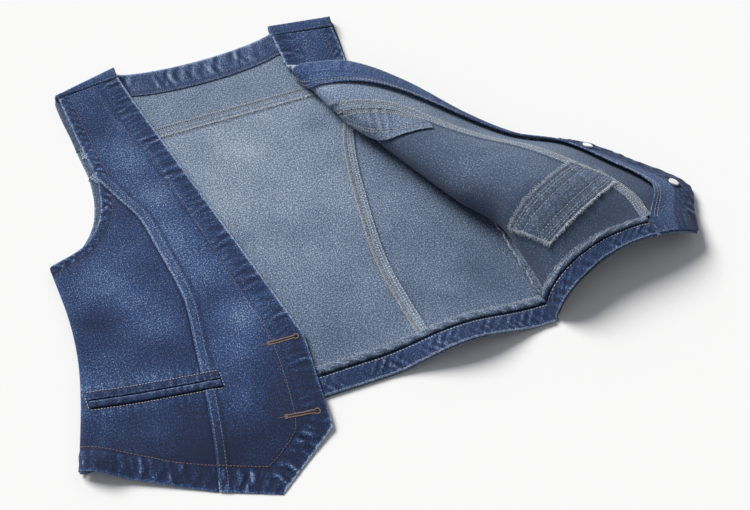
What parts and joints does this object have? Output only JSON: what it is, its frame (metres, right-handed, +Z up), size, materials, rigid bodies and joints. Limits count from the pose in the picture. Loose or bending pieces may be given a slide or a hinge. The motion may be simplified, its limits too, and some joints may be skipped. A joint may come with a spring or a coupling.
{
  "type": "denim vest",
  "caption": "Sleeveless denim vest laid flat on its back: one front lies over the back, the other is thrown open in a rolled arch; pointed front hems and welt pockets.",
  "frame": {"origin": "middle of the footprint's box, on the surface the garment lies on", "axes": "+Z up off the surface, +Y from hem to neck, +X towards the wearer's left, where the open front lies"},
  "size_m": [0.662, 0.5436, 0.0579],
  "materials": {
    "denim_outside": "washed indigo denim, outside, faded at folds and seams",
    "denim_inside": "pale grey-blue inside of the denim",
    "denim_band": "dark indigo denim of facings and welts, stitched and puckered",
    "button_metal": "satin"
  },
  "bodies": {
    "root": {"front_left_centre": "denim_outside", "front_left_side": "denim_outside", "front_right_centre": "denim_outside", "front_right_side": "denim_outside", "back_centre": "denim_inside", "back_side_left": "denim_inside", "back_side_right": "denim_inside", "back_yoke": "denim_inside", "pocket_left_stay": "denim_inside", "front_left_armhole_facing": "denim_inside", "back_neck_facing": "denim_band", "back_hem_facing": "denim_band", "front_left_facing": "denim_band", "front_left_hem_facing": "denim_band", "pocket_right_welt_upper": "denim_band", "pocket_right_welt_lower": "denim_band", "pocket_left_welt_upper": "denim_band", "pocket_left_welt_lower": "denim_band", "button_upper": "button_metal", "button_lower": "button_metal", "button_tack_upper": "button_metal", "button_tack_lower": "button_metal"}
  },
  "joints": []
}
